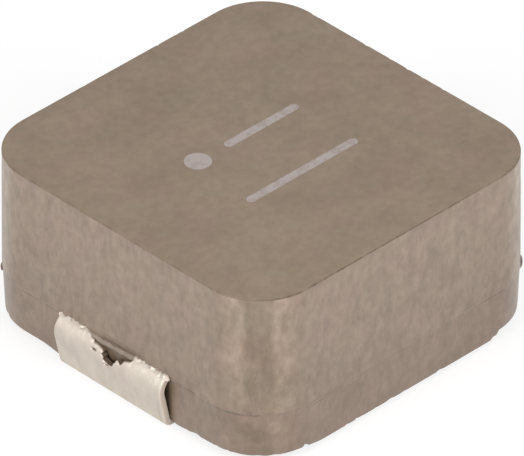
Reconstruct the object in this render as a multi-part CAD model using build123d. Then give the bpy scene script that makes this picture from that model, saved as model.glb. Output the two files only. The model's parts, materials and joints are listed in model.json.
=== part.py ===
from build123d import *
import math
import os

# Moulded power inductor: a block of pressed metal powder round a flat-wire coil, on two folded straps.
# Millimetres, +Z up. The board plane is z = 0 and the straps leave the block along X.

# Moulded block
body_size_x = 8.0  # across the terminal faces, just under the top face
body_size_y = 8.0  # across the plain faces, just under the top face
body_height = 3.87  # underside to top face
corner_radius = 1.35  # upright corners, just under the top face
wall_flare = 0.025  # each upper wall leans out by this much, top edge to parting line
parting_height = 1.12  # underside to parting line
parting_step = 0.035  # the lower half sits in by this much on each side
lower_taper_x = 0.11  # each lower terminal face draws in by this much, parting line to underside
lower_taper_y = 0.045  # the same on each plain face
edge_break = 0.04  # bevel round the top face
stand_off = 0.08  # board plane to underside of the block

# Terminal straps
strap_thickness = 0.15
strap_width = 3.0
strap_reach = 0.24  # widest point of the upper bend, out from the parting line
strap_lean = 12.5  # degrees from upright, inwards on the way down
upper_bend_radius = 0.40  # outside of the bend at the wall
lower_bend_radius = 0.20  # outside of the bend at the board
foot_length = 1.9  # under the block, from the edge of its underside
foot_clearance = 0.03  # between the block and the foot, all round
tab_depth = 1.05  # held in the block, wall to inner end
wing_depth = 0.6  # side arm that carries the end of the wire, along X
wing_margin = 0.05  # side arm beyond the edge of the wire
fork_width = 1.1  # opening between the two roots, at the top of the strap
fork_floor_width = 0.5  # the same at its lower end
fork_depth = 0.46  # top of the strap to the lower end of the opening
fork_inset = 0.35  # opening behind the wall

# Ridge of the block that stands between the roots of a strap
ridge_radius = 0.07
ridge_gap = 0.12  # each end of the ridge to the root beside it

# Coil of flat wire, wound on edge
core_radius = 1.70
wire_width = 1.15  # along the radius
wire_thickness = 0.20  # along the axis
turn_count = 6
turn_gap = 0.06  # enamel between two turns, on the pitch
lead_bend_radius = 0.15  # inside of the bends in the upper lead
coil_film = 0.02  # resin between the winding and the block, all round

# Heights and reaches that follow
underside_z = stand_off
parting_z = stand_off + parting_height
top_z = stand_off + body_height
strap_top_z = parting_z + strap_thickness / 2
wall_x = body_size_x / 2 + wall_flare
underside_x = wall_x - parting_step - lower_taper_x
tab_end_x = wall_x - tab_depth
landing_end_x = tab_end_x + wing_depth
foot_end_x = underside_x - foot_length
turn_pitch = wire_thickness + turn_gap
coil_radius = core_radius + wire_width / 2
coil_outer_radius = core_radius + wire_width


def block_section(z: float, inset_x: float, inset_y: float) -> Sketch:
    """Outline of the block at one height, drawn in from the outline at its top edge."""
    radius = corner_radius - min(inset_x, inset_y)
    outline = RectangleRounded(body_size_x - 2 * inset_x, body_size_y - 2 * inset_y, radius)
    return Plane.XY.offset(z) * outline


def solid_block() -> Part:
    """Block with its flared upper half, its stepped lower half and its broken top edge."""
    inset = parting_step - wall_flare
    outlines = [
        block_section(underside_z, inset + lower_taper_x, inset + lower_taper_y),
        block_section(parting_z, inset, inset),
        block_section(parting_z, -wall_flare, -wall_flare),
        block_section(top_z - edge_break, 0, 0),
        block_section(top_z, edge_break, edge_break),
    ]
    return loft(outlines[0:2]) + loft(outlines[2:4]) + loft(outlines[3:5])


def strap_profile() -> Sketch:
    """Side view of the strap in X and Z: tab, upper bend, leaning wall, lower bend and foot."""
    half_turn = math.radians(90 + strap_lean) / 2
    bend_run = upper_bend_radius * (math.tan(half_turn) - 1)
    shoulder_x = wall_x + strap_reach + bend_run
    heel_x = shoulder_x - strap_top_z * math.tan(math.radians(strap_lean))
    corners = [(tab_end_x, strap_top_z), (shoulder_x, strap_top_z), (heel_x, 0), (foot_end_x, 0)]
    outside = FilletPolyline(*corners, radius=[upper_bend_radius, lower_bend_radius])
    return make_face(offset(outside, amount=strap_thickness, side=Side.RIGHT, closed=True))


def along_y(profile: Sketch, width: float, centre: float = 0) -> Part:
    """Prism of an X and Z profile, with the given width along Y."""
    upright = Plane.XZ.offset(-centre) * profile
    return extrude(upright, amount=width / 2, both=True)


def fork_opening() -> Part:
    """Opening that parts the strap into two roots where it leaves the block."""
    floor_z = strap_top_z - fork_depth
    rim_z = strap_top_z + strap_thickness
    rim = fork_floor_width + (fork_width - fork_floor_width) * (rim_z - floor_z) / fork_depth
    outline = Polygon(
        (-fork_floor_width / 2, floor_z),
        (fork_floor_width / 2, floor_z),
        (rim / 2, rim_z),
        (-rim / 2, rim_z),
        align=None,
    )
    outline = fillet(outline.vertices().sort_by(Axis.Y)[:2], fork_floor_width / 4)
    start = Plane.YZ.offset(wall_x - fork_inset)
    return extrude(start * outline, amount=fork_inset + strap_reach + strap_thickness)


def terminal() -> Part:
    """Strap on the +X side, with the side arm inside the block that the wire is welded to."""
    arm_end = coil_outer_radius + wing_margin
    arm = Pos(tab_end_x, -arm_end, strap_top_z - strap_thickness) * Box(
        wing_depth, arm_end, strap_thickness, align=Align.MIN
    )
    return along_y(strap_profile(), strap_width) - fork_opening() + arm


def foot_room() -> Part:
    """Room in the block for the foot and the lower bend of the +X strap."""
    grown = offset(strap_profile(), amount=foot_clearance)
    room = along_y(grown, strap_width + 2 * foot_clearance)
    return split(room, Plane.XY.offset(parting_z - strap_thickness - upper_bend_radius), keep=Keep.BOTTOM)


def root_ridge() -> Part:
    """Ridge of the block that swells out between the roots of the +X strap."""
    length = (fork_width + fork_floor_width) / 2 - ridge_gap
    return Pos(wall_x, 0, parting_z) * Rot(X=90) * Cylinder(ridge_radius, length)


def wound(turns: float, height: float, film: float = 0) -> Part:
    """Wire, or a stack of it, wound on edge from the inner end of the lower lead."""
    middle_z = strap_top_z + height / 2
    start = Plane(origin=(0, -coil_radius, middle_z), x_dir=(0, 1, 0), z_dir=(1, 0, 0))
    path = Pos(0, 0, middle_z) * Rot(Z=-90) * Helix(turn_pitch, turns * turn_pitch, coil_radius)
    return sweep(start * Rectangle(wire_width + 2 * film, height + 2 * film), path=path, is_frenet=True)


def lower_lead(film: float = 0) -> Part:
    """Straight end of the wire, flat on the side arm of the -X strap."""
    size = (landing_end_x + film, wire_width + 2 * film, wire_thickness + 2 * film)
    place = Pos(0, -coil_radius, strap_top_z - film)
    return place * Box(*size, align=(Align.MAX, Align.CENTER, Align.MIN))


def upper_lead_profile() -> Sketch:
    """Side view of the end of the wire that bends down to the side arm of the +X strap."""
    last_z = strap_top_z + turn_count * turn_pitch
    corners = [(0, last_z), (tab_end_x, last_z), (tab_end_x, strap_top_z), (landing_end_x, strap_top_z)]
    underside = FilletPolyline(*corners, radius=[lead_bend_radius, lead_bend_radius + wire_thickness])
    return make_face(offset(underside, amount=wire_thickness, side=Side.LEFT, closed=True))


def coil() -> Part:
    """Winding with its two leads, in one length of wire."""
    upper_lead = along_y(upper_lead_profile(), wire_width, -coil_radius)
    return wound(turn_count, wire_thickness) + lower_lead() + upper_lead


def coil_room() -> list[Part]:
    """Room in the block for the winding, in two half turns of the whole stack, and for its leads."""
    stack_height = (turn_count - 1) * turn_pitch + wire_thickness
    first_half = wound(0.5, stack_height, coil_film)
    second_half = Pos(0, 0, turn_pitch / 2) * Rot(Z=180) * first_half
    grown = offset(upper_lead_profile(), amount=coil_film)
    upper_lead = along_y(grown, wire_width + 2 * coil_film, -coil_radius)
    return [first_half, second_half, lower_lead(coil_film), upper_lead]


def on_both_sides(piece: Part) -> list[Part]:
    """A piece of the +X side and its mirror image on the -X side."""
    return [piece, mirror(piece, about=Plane.YZ)]


# The block is pressed round the straps and the winding, so they leave their own shapes in it.
terminal_right, terminal_left = on_both_sides(terminal())
moulded_body = solid_block() - on_both_sides(foot_room()) + on_both_sides(root_ridge())
moulded_body = moulded_body - [terminal_right, terminal_left] - coil_room()

os.makedirs("parts", exist_ok=True)
export_step(moulded_body, "parts/moulded_body.step")
export_step(coil(), "parts/coil.step")
export_step(terminal_left, "parts/terminal_left.step")
export_step(terminal_right, "parts/terminal_right.step")
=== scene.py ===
"""Moulded power inductor: a pressed block round a flat-wire coil, on two folded tin straps.

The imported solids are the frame. The block and the straps are modelled again with their worn edges, torn
roots and pressing marks, the winding keeps its solid, and all of them get their finishes here.
Lengths are in metres, written as millimetres times MM. Patterns in the finishes are set out in
millimetres.
"""

import json
import logging
import math
import random
from contextlib import contextmanager
from dataclasses import dataclass, field
from enum import Enum
from typing import Callable, Iterator

import bmesh
import bpy
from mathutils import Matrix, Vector, kdtree

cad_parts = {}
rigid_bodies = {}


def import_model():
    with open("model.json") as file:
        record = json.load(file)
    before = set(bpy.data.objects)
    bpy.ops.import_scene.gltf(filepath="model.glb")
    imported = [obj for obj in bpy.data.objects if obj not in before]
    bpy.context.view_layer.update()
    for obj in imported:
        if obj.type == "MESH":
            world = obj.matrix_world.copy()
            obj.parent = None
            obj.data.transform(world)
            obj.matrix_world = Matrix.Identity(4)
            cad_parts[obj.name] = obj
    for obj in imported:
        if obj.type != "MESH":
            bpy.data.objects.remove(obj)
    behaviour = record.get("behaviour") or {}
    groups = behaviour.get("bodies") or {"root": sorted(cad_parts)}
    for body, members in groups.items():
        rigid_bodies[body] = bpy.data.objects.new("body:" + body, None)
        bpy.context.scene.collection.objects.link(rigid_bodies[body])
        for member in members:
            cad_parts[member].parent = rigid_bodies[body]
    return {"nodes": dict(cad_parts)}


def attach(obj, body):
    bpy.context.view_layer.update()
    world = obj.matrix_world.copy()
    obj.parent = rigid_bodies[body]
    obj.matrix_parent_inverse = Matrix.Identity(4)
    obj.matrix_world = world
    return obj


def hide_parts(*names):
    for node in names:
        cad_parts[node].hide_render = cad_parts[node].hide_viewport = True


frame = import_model()

MM = 0.001
log = logging.getLogger("inductor")

Triple = tuple[float, float, float]
Colour = Triple
Socket = bpy.types.NodeSocket

TONE_SHARES: Triple = (0.94, 1.0, 1.14)  # share of a change of tone in red, green and blue
THIN_RELIEF = 0.002 * MM  # unevenness of enamel and ink


class Side(Enum):
    """Terminal face of the block, as the sign of its X."""

    LEFT = -1
    RIGHT = 1


class Zone(Enum):
    """Skin of the block, in the order of its material slots."""

    TOP = 0
    RIM = 1
    WALL = 2
    LOWER = 3
    FLASH = 4
    BURR = 5


# Modelling helpers


def deselect_everything() -> None:
    """Leaves no object selected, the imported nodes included."""
    for thing in bpy.context.scene.objects:
        thing.select_set(False)


def make_active(piece: bpy.types.Object) -> None:
    """Selects one object alone and makes it the active one.

    Args:
        piece: The object.
    """
    deselect_everything()
    piece.select_set(True)
    bpy.context.view_layer.objects.active = piece


@contextmanager
def edit_mode(piece: bpy.types.Object) -> Iterator[None]:
    """Opens one piece in edit mode and closes it again.

    Args:
        piece: Mesh object to work on.
    """
    make_active(piece)
    bpy.ops.object.mode_set(mode="EDIT")
    try:
        yield
    finally:
        bpy.ops.object.mode_set(mode="OBJECT")


def pick_all() -> None:
    """Selects all of the mesh that is in edit mode."""
    bpy.ops.mesh.select_all(action="SELECT")


def pick_edges(test: Callable[[bmesh.types.BMEdge], bool]) -> None:
    """Selects edges of the mesh that is in edit mode.

    Args:
        test: Says of one edge whether it is wanted.
    """
    bpy.ops.mesh.select_mode(type="EDGE")
    bpy.ops.mesh.select_all(action="DESELECT")
    data = bpy.context.edit_object.data
    mesh = bmesh.from_edit_mesh(data)
    for edge in mesh.edges:
        if test(edge):
            edge.select_set(True)
    mesh.select_flush_mode()
    bmesh.update_edit_mesh(data)


def apply_modifier(piece: bpy.types.Object, kind: str, **settings: object) -> None:
    """Adds one modifier to a piece and applies it at once.

    Args:
        piece: Mesh object.
        kind: Blender's name of the modifier type.
        settings: Values of the modifier.
    """
    make_active(piece)
    modifier = piece.modifiers.new(kind.lower(), kind)
    for name, value in settings.items():
        setattr(modifier, name, value)
    bpy.ops.object.modifier_apply(modifier=modifier.name)


def cut_away(piece: bpy.types.Object, cutter: bpy.types.Object, torn: bool = False) -> None:
    """Takes a cutter's shape out of a piece and throws the cutter away.

    Args:
        piece: Piece to cut.
        cutter: Shape to take out of it.
        torn: Whether the piece has a ragged cut already, which calls for the slower way.
    """
    apply_modifier(
        piece, "BOOLEAN", object=cutter, operation="DIFFERENCE", solver="EXACT", use_self=torn
    )
    bpy.data.objects.remove(cutter)


def weigh(piece: bpy.types.Object, name: str, weight: Callable[[Vector], float]) -> str:
    """Gives the points of a piece a vertex group.

    Args:
        piece: Mesh object.
        name: Name of the group.
        weight: Weight of a point, from its place.

    Returns:
        The name of the group.
    """
    group = piece.vertex_groups.new(name=name)
    for point in piece.data.vertices:
        share = weight(point.co)
        if share > 0:
            group.add([point.index], min(share, 1.0), "REPLACE")
    return name


def cloud_texture(name: str, grain: float) -> bpy.types.Texture:
    """Cloud pattern for displacement.

    Args:
        name: Name of the texture.
        grain: Size of its lumps.

    Returns:
        The new texture.
    """
    texture = bpy.data.textures.new(name, "CLOUDS")
    texture.noise_scale = grain
    texture.noise_depth = 2
    return texture


def mm(*lengths: float) -> tuple[float, ...]:
    """Lengths given in millimetres, as metres."""
    return tuple(length * MM for length in lengths)


def ramp_step(low: float, high: float, value: float) -> float:
    """Share of the way from low to high, eased at both ends."""
    share = min(max((value - low) / (high - low), 0.0), 1.0)
    return share * share * (3 - 2 * share)


class Sculptor:
    """Local pushes of a mesh in edit mode, each with a soft reach round one point."""

    def __init__(self, piece: bpy.types.Object) -> None:
        """Notes where the points of a piece are.

        Args:
            piece: Mesh object to push about.
        """
        self.piece = piece
        points = piece.data.vertices
        self.tree = kdtree.KDTree(len(points))
        for point in points:
            self.tree.insert(point.co, point.index)
        self.tree.balance()

    def push(self, place: Vector, move: Vector, reach: float) -> None:
        """Moves the point nearest to a place and draws its neighbours along.

        Args:
            place: Where to take hold.
            move: How far to move.
            reach: Distance at which the pull has died out.
        """
        mesh = bmesh.from_edit_mesh(self.piece.data)
        mesh.verts.ensure_lookup_table()
        held = mesh.verts[self.tree.find(place)[1]]
        bpy.ops.mesh.select_all(action="DESELECT")
        held.select_set(True)
        bmesh.update_edit_mesh(self.piece.data)
        bpy.ops.transform.translate(
            value=move,
            use_proportional_edit=True,
            proportional_edit_falloff="SMOOTH",
            proportional_size=reach,
        )


# Finishes


class NodeBoard:
    """Shader nodes of one material or world, set out and wired by name."""

    def __init__(
        self, owner: bpy.types.Material | bpy.types.World, shader: str = "Principled BSDF"
    ) -> None:
        """Takes hold of the nodes and of the shader that they start with.

        Args:
            owner: New material or world.
            shader: Name of its shader's node.
        """
        owner.use_nodes = True
        self.owner = owner
        self.nodes = owner.node_tree.nodes
        self.links = owner.node_tree.links
        self.shader = self.nodes[shader]

    def put(self, value: object, socket: Socket) -> None:
        """Wires an output to an input, or sets a plain value there.

        Args:
            value: Output, number, colour or vector.
            socket: The input.
        """
        if isinstance(value, bpy.types.NodeSocket):
            self.links.new(value, socket)
        elif socket.type == "RGBA":
            socket.default_value = (*value, 1.0)
        else:
            socket.default_value = value

    def add(
        self, kind: str, inputs: dict[int | str, object] | None = None, **settings: object
    ) -> bpy.types.Node:
        """Adds a node, sets its properties and fills its inputs.

        Args:
            kind: Node type, without its common first part.
            inputs: Outputs or plain values, by the number or name of the input.
            settings: Properties of the node.

        Returns:
            The new node.
        """
        node = self.nodes.new("ShaderNode" + kind)
        for name, value in settings.items():
            setattr(node, name, value)
        for key, value in (inputs or {}).items():
            self.put(value, node.inputs[key])
        return node

    def set(self, **values: object) -> None:
        """Fills inputs of the shader, by their names with underscores."""
        for name, value in values.items():
            self.put(value, self.shader.inputs[name.replace("_", " ")])

    def millimetres(self, drawn: float = 1.0, shift: Triple = (0.0, 0.0, 0.0)) -> Socket:
        """Object coordinates in millimetres.

        Args:
            drawn: Factor on Z, under 1 to draw a pattern out upwards.
            shift: Move of the pattern, so that two of them don't line up.

        Returns:
            The vector output.
        """
        place = self.add("TexCoord").outputs["Object"]
        inputs = {"Vector": place, "Scale": (1 / MM, 1 / MM, drawn / MM), "Location": shift}
        return self.add("Mapping", inputs).outputs["Vector"]

    def axes(self) -> list[Socket]:
        """The X, Y and Z of a place, in millimetres."""
        return list(self.add("SeparateXYZ", {0: self.millimetres()}).outputs)

    def noise(
        self,
        scale: float,
        detail: float = 2.0,
        rough: float = 0.5,
        drawn: float = 1.0,
        shift: Triple = (0.0, 0.0, 0.0),
    ) -> Socket:
        """Noise from 0 to 1.

        Args:
            scale: Lumps to the millimetre.
            detail: Number of finer layers.
            rough: Strength of the finer layers.
            drawn: Factor on Z, under 1 to draw the lumps out upwards.
            shift: Move of the pattern, so that two of them don't line up.

        Returns:
            The factor output.
        """
        where = self.millimetres(drawn, shift)
        inputs = {"Vector": where, "Scale": scale, "Detail": detail, "Roughness": rough}
        return self.add("TexNoise", inputs).outputs["Fac"]

    def ranged(
        self, value: Socket, low: float, high: float, to_low: float = 0.0, to_high: float = 1.0
    ) -> Socket:
        """Value carried from one range to another, eased at both ends and held inside it.

        Args:
            value: Input value.
            low: Start of the input range.
            high: End of the input range.
            to_low: Start of the output range.
            to_high: End of the output range.

        Returns:
            The result output.
        """
        inputs = {"Value": value, "From Min": low, "From Max": high, "To Min": to_low, "To Max": to_high}
        return self.add("MapRange", inputs, interpolation_type="SMOOTHSTEP").outputs["Result"]

    def falling(self, value: Socket, low: float, high: float) -> Socket:
        """Share that falls from 1 at a low value to 0 at a high one."""
        return self.ranged(value, low, high, 1.0, 0.0)

    def tone(self, value: Socket, contrast: float) -> Socket:
        """Noise as a factor on a colour, as far above 1 as below it."""
        return self.ranged(value, 0.3, 0.7, 1 - contrast, 1 + contrast)

    def blend(self, share: Socket, under: Colour | Socket, over: Colour | Socket) -> Socket:
        """Two colours mixed by a share.

        Args:
            share: Part of the second colour.
            under: First colour, as numbers or an output.
            over: Second colour, as numbers or an output.

        Returns:
            The colour output.
        """
        return self.add("Mix", {0: share, 6: under, 7: over}, data_type="RGBA").outputs[2]

    def calculate(self, operation: str, first: float | Socket, second: float | Socket = 0.0) -> Socket:
        """Arithmetic on two values.

        Args:
            operation: Blender's name of the operation.
            first: Number or output.
            second: Number or output.

        Returns:
            The value output.
        """
        return self.add("Math", {0: first, 1: second}, operation=operation).outputs[0]

    def away(self, value: Socket, middle: float = 0.0) -> Socket:
        """Distance of a value from a middle."""
        return self.calculate("ABSOLUTE", self.calculate("SUBTRACT", value, middle))

    def product(self, *values: float | Socket) -> Socket:
        """All values multiplied together.

        Args:
            values: Numbers or outputs, with an output among the first two.

        Returns:
            The value output.
        """
        result = values[0]
        for value in values[1:]:
            result = self.calculate("MULTIPLY", result, value)
        return result

    def lighten(self, share: Socket, height: float) -> Socket:
        """Factor on a colour that rises from 1 by a height where the share is 1."""
        return self.calculate("ADD", 1.0, self.product(share, height))

    def darken(self, share: Socket, depth: float) -> Socket:
        """Factor on a colour that falls from 1 by a depth where the share is 1."""
        return self.lighten(share, -depth)

    def scale(self, colour: Socket, factor: Socket) -> Socket:
        """A colour times a factor."""
        return self.add("VectorMath", {0: colour, "Scale": factor}, operation="SCALE").outputs[0]

    def lean(self, plain: Socket, toned: Socket, share: Triple) -> Socket:
        """Goes from a plain colour to a toned one, with a share of its own in each channel.

        Args:
            plain: Colour without its tone.
            toned: Colour with its tone.
            share: Share of the change in red, green and blue.

        Returns:
            The colour output.
        """
        change = self.add("VectorMath", {0: toned, 1: plain}, operation="SUBTRACT").outputs[0]
        return self.add("VectorMath", {0: change, 1: share, 2: plain}, operation="MULTIPLY_ADD").outputs[0]

    def near(self, place: Triple, radius: float) -> Socket:
        """Share that falls from 1 near a place to 0 at a distance from it.

        Args:
            place: The place, in millimetres.
            radius: The distance, in millimetres.

        Returns:
            The share output.
        """
        ends = {0: self.millimetres(), 1: place}
        distance = self.add("VectorMath", ends, operation="DISTANCE").outputs["Value"]
        return self.falling(distance, radius * 0.65, radius)

    def looked_at(self) -> Socket:
        """Share that is 1 where the eye looks, also in a reflection or through glass.

        Returns:
            The share output.
        """
        path = self.add("LightPath").outputs
        straight = self.calculate("MAXIMUM", path["Is Camera Ray"], path["Is Glossy Ray"])
        return self.calculate("MAXIMUM", straight, path["Is Transmission Ray"])

    def bump(self, height: Socket, depth: float) -> None:
        """Raises the shader's surface by a height pattern.

        Args:
            height: Pattern from 0 to 1.
            depth: Height of the pattern.
        """
        self.set(Normal=self.add("Bump", {"Distance": depth, "Height": height}).outputs["Normal"])


def shaded(colour: Colour, factor: float) -> Colour:
    """A colour made lighter or darker by a factor."""
    return tuple(min(channel * factor, 1.0) for channel in colour)


@dataclass(frozen=True)
class CompositeFinish:
    """Pressed metal powder in resin: soft patches, small mottling and pores.

    Attributes:
        name: Name of the material.
        colour: Middle tone of the composite.
        patch: Contrast of the broad soft patches.
        mottle: Contrast of the small ones.
        pore: Depth of tone of the pores.
        relief: Height of the fine grain.
        roughness: Roughness of the surface.
        skin: Weight of the resin skin, which shines at a glance.
    """

    name: str
    colour: Colour
    patch: float
    mottle: float
    pore: float
    relief: float
    roughness: float
    skin: float

    def make(self) -> bpy.types.Material:
        """Builds the material.

        Returns:
            The new material.
        """
        board = NodeBoard(bpy.data.materials.new(self.name))
        ground = self._ground(board)
        toned = board.scale(ground, board.product(*self._tones(board)))
        board.set(
            Base_Color=board.lean(ground, toned, TONE_SHARES),
            Roughness=self.roughness,
            Coat_Weight=self.skin,
            Coat_Roughness=0.2,
        )
        board.bump(self._heights(board), self.relief)
        return board.owner

    def _ground(self, board: NodeBoard) -> Socket:
        """Middle tone, with its drift."""
        return self._drifting(board, self.colour)

    def _drifting(self, board: NodeBoard, colour: Colour) -> Socket:
        """A colour that drifts between a pinkish and a greenish cast.

        Args:
            board: Nodes of the material.
            colour: Its middle.

        Returns:
            The colour output.
        """
        red, green, blue = colour
        pinkish = (red * 1.013, green * 0.987, blue * 0.99)
        greenish = (red * 0.987, green * 1.013, blue * 0.995)
        drift = board.noise(1.3, 3.0, shift=(7.0, 3.0, 1.0))
        return board.blend(board.ranged(drift, 0.35, 0.65), pinkish, greenish)

    def _tones(self, board: NodeBoard) -> list[Socket]:
        """Factors on the middle tone.

        Args:
            board: Nodes of the material.

        Returns:
            One output for each kind of mark.
        """
        pores = board.noise(9.0, shift=(2.0, 5.0, 9.0))
        return [
            board.tone(board.noise(0.9, 3.0), self.patch),
            board.tone(board.noise(5.0, 3.0), self.mottle),
            board.ranged(pores, 0.62, 0.74, 1.0, 1 - self.pore),
        ]

    def _heights(self, board: NodeBoard) -> Socket:
        """Height pattern of the surface."""
        return board.noise(30.0, 3.0, 0.6)


@dataclass(frozen=True)
class RimFinish(CompositeFinish):
    """Worn edge of the top face, dark in ragged stretches along the plain faces.

    Attributes:
        dark: Depth of tone of the dark stretches.
    """

    dark: float

    def _tones(self, board: NodeBoard) -> list[Socket]:
        """Factors on the middle tone, with the dark stretches.

        Args:
            board: Nodes of the material.

        Returns:
            One output for each kind of mark.
        """
        x, y, _ = board.axes()
        ragged = board.noise(3.5, 3.0, shift=(1.0, 6.0, 4.0))
        stretches = board.product(
            board.ranged(board.away(y), 3.3, 3.95, 0.15),
            board.ranged(x, -0.5, 2.5, 1.0, 0.45),
            board.ranged(ragged, 0.38, 0.58, 0.35),
        )
        return [*super()._tones(board), board.darken(stretches, self.dark)]


@dataclass(frozen=True)
class Scuff:
    """Round mark on a wall.

    Attributes:
        place: Its middle, in millimetres.
        radius: Its radius, in millimetres.
        tone: What it adds to the factor on the colour.
    """

    place: Triple
    radius: float
    tone: float


@dataclass(frozen=True)
class WallFinish(CompositeFinish):
    """Composite that the die has drawn along, with upright ticks, painted light under the rim and painted
    sheen on the corners.

    Attributes:
        lower: Middle tone of the lower half.
        streak: Contrast of the ticks.
        painted_light_fade: Painted light from above: change of tone, up from the parting line to the rim.
        sheen_band: Contrast of the painted sheen on the corners: two light upright bands, painted shade
            between them.
        painted_lip_shadow: Depth of tone of the painted shadow above the lip over the roots of a strap.
        scuffs: Round marks.
        seam_z: Height of the parting line, in millimetres.
        rim_z: Height of the rim, in millimetres.
        corner_centre: Middle of a corner's arc, out from the middle of the block, in millimetres.
    """

    lower: Colour
    streak: float
    painted_light_fade: float
    sheen_band: float
    painted_lip_shadow: float = 0.36
    scuffs: tuple[Scuff, ...] = ()
    seam_z: float = 1.176
    rim_z: float = 3.95
    corner_centre: float = 2.68

    def _ground(self, board: NodeBoard) -> Socket:
        """Middle tone, which changes softly at the parting line.

        Args:
            board: Nodes of the material.

        Returns:
            The colour output.
        """
        _, _, z = board.axes()
        uneven = board.ranged(board.noise(1.4, 3.0, shift=(5.0, 9.0, 2.0)), 0.3, 0.7, -0.15, 0.15)
        height = board.calculate("ADD", z, uneven)
        below = board.falling(height, self.seam_z - 0.25, self.seam_z + 0.40)
        return board.blend(below, super()._ground(board), self._drifting(board, self.lower))

    def _tones(self, board: NodeBoard) -> list[Socket]:
        """Factors on the middle tone, with the marks of the die.

        Args:
            board: Nodes of the material.

        Returns:
            One output for each kind of mark.
        """
        _, _, z = board.axes()
        broad = board.noise(2.0, 4.0, 0.6, 0.7)
        ticks = board.noise(6.5, 3.0, 0.6, 0.42, (4.0, 1.0, 6.0))
        specks = board.noise(6.0, 1.0, 0.5, 0.5, (9.0, 2.0, 5.0))
        return [
            *super()._tones(board),
            board.tone(broad, self.streak * 0.75),
            board.tone(ticks, self.streak),
            board.ranged(specks, 0.62, 0.78, 1.0, 1 - self.streak),
            # painted light: lighter up towards the rim, as if lit from above
            board.ranged(z, self.seam_z, self.rim_z, 1 - self.painted_light_fade, 1 + self.painted_light_fade),
            # painted sheen bands on the corners
            self._painted_sheen_bands(board),
            # painted shadow above the lip at each strap
            board.darken(self._painted_lip_shadow(board), self.painted_lip_shadow),
            *[board.lighten(board.near(scuff.place, scuff.radius), scuff.tone) for scuff in self.scuffs],
        ]

    def _heights(self, board: NodeBoard) -> Socket:
        """Height pattern of the surface, with upright scratches in it."""
        scratches = board.noise(8.0, 2.0, 0.6, 0.2)
        return board.calculate("ADD", super()._heights(board), scratches)

    def _painted_lip_shadow(self, board: NodeBoard) -> Socket:
        """Share of the painted shadow above the lip, over the ridge between the roots of a strap.

        Args:
            board: Nodes of the material.

        Returns:
            The share output.
        """
        x, y, z = board.axes()
        return board.product(
            board.falling(board.away(z, 1.275), 0.03, 0.12),
            board.falling(board.away(y, -0.3), 0.35, 0.70),
            board.ranged(board.away(x), 3.9, 3.95),
            board.ranged(board.noise(5.0, 3.0), 0.3, 0.6, 0.3),
        )

    def _painted_sheen_bands(self, board: NodeBoard) -> Socket:
        """Painted sheen: a factor that is high in two upright bands of each corner and low between them,
        all blotchy.

        Args:
            board: Nodes of the material.

        Returns:
            The factor output.
        """
        x, y, z = board.axes()
        across = board.calculate("SUBTRACT", board.away(x), self.corner_centre)
        along = board.calculate("SUBTRACT", board.away(y), self.corner_centre)
        turn = board.away(board.calculate("ARCTAN2", along, across), math.pi / 4)
        blotch = board.noise(2.4, 4.0, 0.6, 0.8, (1.0, 4.0, 2.0))
        light = board.product(
            board.ranged(turn, math.radians(9), math.radians(17)),
            board.falling(turn, math.radians(22), math.radians(38)),
            board.ranged(z, self.seam_z, self.rim_z, 0.75, 1.25),
            board.ranged(blotch, 0.36, 0.6, 0.1),
        )
        dark = board.product(
            board.falling(turn, math.radians(8), math.radians(16)),
            board.ranged(blotch, 0.4, 0.62, 1.0, 0.35),
            0.6,
        )
        return board.lighten(board.calculate("SUBTRACT", light, dark), self.sheen_band)


@dataclass(frozen=True)
class LowerFinish(WallFinish):
    """Lower half of the walls, with the dark parting line above, and brown dirt with painted shade behind
    the straps.

    Attributes:
        seam: Depth of tone of the parting line.
        grime_and_shade: Colour behind the straps: brown dirt, darkened as painted shade.
        strap_half: Half the width of a strap, in millimetres.
    """

    seam: float = 0.34
    grime_and_shade: Colour = (0.165, 0.112, 0.072)
    strap_half: float = 1.5

    def _ground(self, board: NodeBoard) -> Socket:
        """Middle tone, with the dirt and painted shade behind the straps.

        Args:
            board: Nodes of the material.

        Returns:
            The colour output.
        """
        x, y, _ = board.axes()
        out = board.away(x)
        # painted shade, with some brown dirt, on the lower wall and the plug behind each strap
        behind = board.product(
            board.ranged(out, 3.5, 3.7),
            board.falling(out, 4.13, 4.20),
            board.falling(board.away(y), self.strap_half - 0.05, self.strap_half + 0.22),
        )
        return board.blend(behind, super()._ground(board), self.grime_and_shade)

    def _tones(self, board: NodeBoard) -> list[Socket]:
        """Factors on the middle tone, with the parting line, which is rubbed off along the plain faces.

        Args:
            board: Nodes of the material.

        Returns:
            One output for each kind of mark.
        """
        x, y, z = board.axes()
        plain = board.ranged(board.away(y), 3.85, 3.95)
        rubbed = board.product(plain, board.falling(board.away(x), 1.8, 2.6))
        uneven = board.noise(1.8, 3.0, 0.5, 0.2, (3.0, 8.0, 2.0))
        line = board.product(
            board.falling(board.away(z, self.seam_z), 0.010, 0.055),
            board.ranged(uneven, 0.40, 0.60, 0.1),
            board.darken(rubbed, 0.7),
        )
        return [*super()._tones(board), board.darken(line, self.seam)]


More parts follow.
